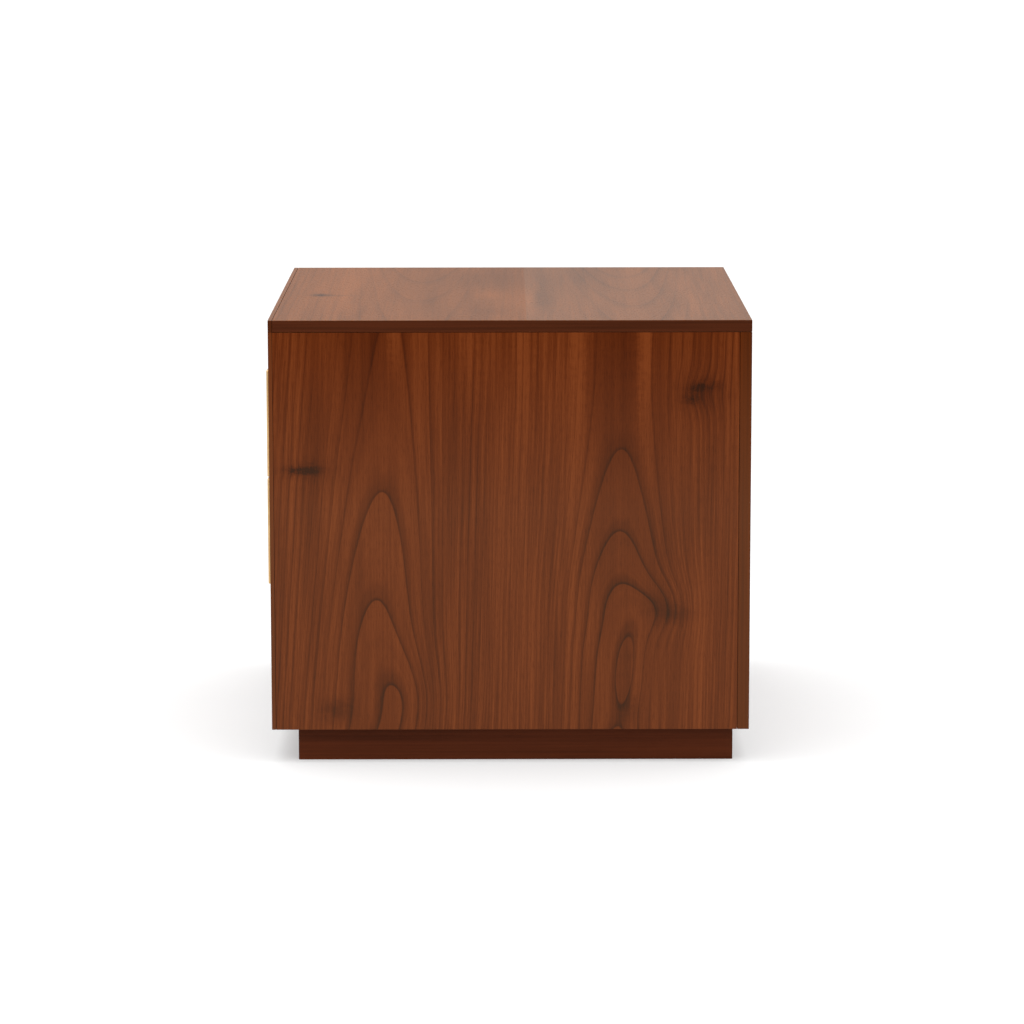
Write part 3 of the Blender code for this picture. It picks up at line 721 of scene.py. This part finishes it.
# Drawer boxes: birch plywood, lacquered, with the sides outside and the bottom in a groove. The
# faces are cream with a faint, silky figure; the sawn edges show nine thin plies.
def birch(name, thin, long, plies):
    """Plywood with its layers stacked along one axis and its face grain along another."""
    made, tree, shader = blank(name)
    place = add(tree, "TexCoord", out=3)
    stretch = [18.0] * 3
    stretch[long] = 2.0
    figure = grain(tree, place, stretch, 5.0, 0.55)
    stretch = [700.0] * 3
    stretch[long] = 25.0
    fibre = grain(tree, place, stretch, 3.0)
    tone = layered(tree, 0.4, ((figure, 2.6, 0.5), (fibre, 0.9, 0.5)))
    face = add(tree, "Mix", data_type="RGBA", out=2,
               by={0: tone, 6: linear("#e6cda6"), 7: linear("#d0ae80")})
    through = add(tree, "SeparateXYZ", add(tree, "TexCoord", out=0)).node.outputs[thin]
    layer = add(tree, "Math", through, float(plies), operation="MULTIPLY")
    turn = add(tree, "Math", layer, 2.0, operation="MODULO")
    turn = add(tree, "Math", turn, 1.0, operation="GREATER_THAN")
    glue = add(tree, "Math", layer, operation="FRACT")
    glue = add(tree, "Math", glue, 0.5, operation="SUBTRACT")
    glue = add(tree, "Math", glue, operation="ABSOLUTE")
    glue = add(tree, "MapRange", glue, 0.40, 0.48, 0.0, 1.0)
    ends = layered(tree, turn, ((fibre, 0.8, 0.5), (glue, 0.5, 0.0)))
    edge = add(tree, "Mix", data_type="RGBA", out=2,
               by={0: ends, 6: linear("#dfc094"), 7: linear("#a87c4d")})
    tree.links.new(boarded(tree, thin, face, edge), shader.inputs["Base Color"])
    rough = add(tree, "MapRange", fibre, 0.3, 0.7, 0.36, 0.50)
    tree.links.new(rough, shader.inputs["Roughness"])
    bump = add(tree, "Bump", by={"Strength": 0.15, "Distance": 0.1 * MM, "Height": fibre})
    tree.links.new(bump, shader.inputs["Normal"])
    shader.inputs["Specular IOR Level"].default_value = 0.35
    return made


side_ply = birch("lacquered birch plywood, sides", X, Y, 9)
end_ply = birch("lacquered birch plywood, ends", Y, X, 9)
bottom_ply = birch("lacquered birch plywood, bottom", Z, X, 5)
for drawer in DRAWERS:
    dress(f"{drawer}_box_side_left", side_ply)
    dress(f"{drawer}_box_side_right", side_ply)
    dress(f"{drawer}_box_front", end_ply)
    dress(f"{drawer}_box_back", end_ply)
    dress(f"{drawer}_box_bottom", bottom_ply)


# Drawer fronts: 18 mm veneered boards, inset in the carcass. One book-matched leaf runs up over
# both fronts without a break.
front_span = (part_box("lower_drawer_front")[0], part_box("upper_drawer_front")[1])
front_veneer = walnut(
    "oiled walnut veneer, drawer fronts", front_span, Y, X, Z,
    ({"centre": 0.765, "lean": 0.05, "peak": 0.80, "pith": 0.155, "ring": 5.6 * MM,
      "arch": 0.135, "curve": 7.0, "islands": (((0.775, 0.08), 15 * MM, 55 * MM, -1.1),)},),
    0.50, (
        ((0.765, 1.0), 28 * MM, 120 * MM, 0.20), ((0.235, 1.0), 28 * MM, 120 * MM, 0.20),
        ((0.640, 1.0), 10 * MM, 150 * MM, -0.16), ((0.360, 1.0), 10 * MM, 150 * MM, -0.16),
        ((0.915, 0.30), 12 * MM, 5 * MM, 0.45)),
    (((0.765, 1.0), 60 * MM, 170 * MM, 0.5), ((0.235, 1.0), 60 * MM, 170 * MM, 0.5)))
for drawer in DRAWERS:
    dress(f"{drawer}_drawer_front", front_veneer)


# Front and pull screws: pan-headed, driven from inside the box. Four hold each front to its box,
# and two longer ones pass through both boards into the pull's posts.
SCREW_HEAD = 4.2 * MM
HEAD_HEIGHT = 2.2 * MM
FRONT_SHANK = 2.0 * MM
front_screw = screw_mesh(24 * MM, SCREW_HEAD, HEAD_HEIGHT, FRONT_SHANK)
for drawer in DRAWERS:
    for kind, hands in (("front", ("_left", "_right")), ("pull", ("",))):
        for level in ("low", "high"):
            for hand in hands:
                node = f"{drawer}_{kind}_screw_{level}{hand}"
                low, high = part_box(node)
                head = Vector(((low.x + high.x) / 2, high.y - HEAD_HEIGHT, (low.z + high.z) / 2))
                if kind == "front":
                    source = front_screw
                else:
                    length = high.y - low.y - HEAD_HEIGHT
                    source = screw_mesh(length, SCREW_HEAD, HEAD_HEIGHT, FRONT_SHANK)
                finished(f"{node}_cross_head", source, zinc,
                         f"{drawer}_drawer", driven(head, (0, -1, 0)), (node,))


# Pulls: solid brass bars, 20 by 7 mm, brushed along their length and lacquered, each on two turned
# brass posts. The arrises are broken by hand, so they catch a thin line of light.
def brass(name, along, fine):
    """Brushed brass, with its scratches drawn at 0.5 mm so that they show."""
    made, tree, shader = blank(name)
    place = add(tree, "TexCoord", out=3)
    stretch = [fine] * 3
    stretch[along] = 8.0
    brushed = grain(tree, place, stretch, 3.0)
    cloud = grain(tree, place, (45.0, 45.0, 45.0), 3.0)
    tone = layered(tree, 0.5, ((brushed, 1.1, 0.5), (cloud, 1.2, 0.5)))
    rough = layered(tree, 0.32, ((brushed, 0.22, 0.5), (cloud, 0.12, 0.5)))
    polished(tree, shader, tone, ("#e0bc89", "#c69d69"), rough, brushed, 0.12)
    return made


bar_brass = brass("brushed brass, bars", Z, 2000.0)
post_brass = brass("turned brass, posts", Y, 1200.0)
BAR_EASE = 1.2 * MM
POST_RADIUS = 5.0 * MM
POST_FLANGE = 0.8 * MM
POST_COVE = 0.7 * MM
COVE_TOP = 1.6 * POST_FLANGE
for drawer in DRAWERS:
    low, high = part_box(f"{drawer}_pull_bar")
    bm = bmesh.new()
    bmesh.ops.create_cube(bm, size=1)
    bmesh.ops.scale(bm, vec=high - low, verts=bm.verts)
    bmesh.ops.translate(bm, vec=(low + high) / 2, verts=bm.verts)
    bmesh.ops.bevel(bm, geom=bm.edges[:], offset=BAR_EASE, segments=6, affect="EDGES",
                    profile=0.5)
    mesh = bpy.data.meshes.new("pull_bar")
    bm.to_mesh(mesh)
    bm.free()
    finished(f"{drawer}_brass_bar", smoothed(mesh), bar_brass, f"{drawer}_drawer",
             replaces=(f"{drawer}_pull_bar",))
    for level in ("low", "high"):
        node = f"{drawer}_pull_post_{level}"
        low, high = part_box(node)
        length = high.y - low.y
        profile = [(0, length), (POST_RADIUS, length), (POST_RADIUS, COVE_TOP)]
        profile += [(POST_RADIUS - POST_COVE * math.cos(a), COVE_TOP - POST_COVE * math.sin(a))
                    for a in (0.5, 1.0, 1.5)]
        profile += [(POST_RADIUS, 0.5 * POST_FLANGE), (POST_RADIUS, 0), (0, 0)]
        post = smoothed(applied(turned(profile, 48)))
        middle = Vector(((low.x + high.x) / 2, high.y, (low.z + high.z) / 2))
        finished(f"{drawer}_turned_post_{level}", post, post_brass,
                 f"{drawer}_drawer", driven(middle, (0, 1, 0)), (node,))


# Studio: a pale paper sweep under a large overhead softbox, in a white room that is a little
# darker towards the floor. The paper glows slightly, as backlit sweeps do, to keep shadows light.
bpy.ops.mesh.primitive_plane_add(size=60, location=(0, 0, 0))
floor = bpy.context.object
floor.name = "floor"
paper, tree, shader = blank("white paper sweep")
place = add(tree, "TexCoord", out=3)
mottle = grain(tree, place, (3.0, 3.0, 3.0), 2.0)
shade = add(tree, "Mix", data_type="RGBA", out=2,
            by={0: mottle, 6: linear("#b8b8b8"), 7: linear("#bcbcbc")})
tree.links.new(shade, shader.inputs["Base Color"])
shader.inputs["Roughness"].default_value = 0.9
shader.inputs["Specular IOR Level"].default_value = 0.0
shader.inputs["Emission Color"].default_value = (1, 1, 1, 1)
shader.inputs["Emission Strength"].default_value = 0.34
floor.data.materials.append(paper)

world = bpy.data.worlds.new("white room")
bpy.context.scene.world = world
world.use_nodes = True
tree = world.node_tree
tree.nodes.clear()
seen = add(tree, "Background", (1, 1, 1, 1), 1.0)
ray = add(tree, "SeparateXYZ", add(tree, "TexCoord", out=0)).node
glow = add(tree, "MapRange", ray.outputs[Z], 0.0, 1.0, 0.50, 2.15)
lit = add(tree, "Background", (1, 1, 1, 1), glow)
shown = add(tree, "MixShader", add(tree, "LightPath"), lit, seen)
add(tree, "OutputWorld", shown)

light = bpy.data.lights.new("overhead softbox", "AREA")
light.shape = "RECTANGLE"
light.size = light.size_y = 3.0
light.energy = 25
softbox = bpy.data.objects.new("overhead softbox", light)
softbox.location = (0.3, -0.4, 2.6)
softbox.rotation_euler = (Vector((0, 0, 0.2)) - softbox.location).to_track_quat("-Z", "Y").to_euler()
bpy.context.scene.collection.objects.link(softbox)


# Camera: a long lens, level with a standing person's waist, that looks squarely at the right side
# from 4.9 m and a little down.
DISTANCE = 4.9253
ASIDE = 0.0014
EYE_HEIGHT = 1.1398
TURN = math.radians(90) - 0.00236
TILT = math.radians(90) - 0.16382
ROLL = -0.00118
camera = bpy.data.cameras.new("camera")
camera.lens = 138.45
camera.sensor_width = 36
stand = bpy.data.objects.new("camera", camera)
spot = Vector((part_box("side_panel_right")[1].x + DISTANCE, ASIDE, EYE_HEIGHT))
stand.matrix_world = (
    Matrix.Translation(spot)
    @ Matrix.Rotation(TURN, 4, "Z") @ Matrix.Rotation(TILT, 4, "X") @ Matrix.Rotation(ROLL, 4, "Z"))
bpy.context.scene.collection.objects.link(stand)
bpy.context.scene.camera = stand
bpy.context.scene.view_settings.view_transform = "Standard"
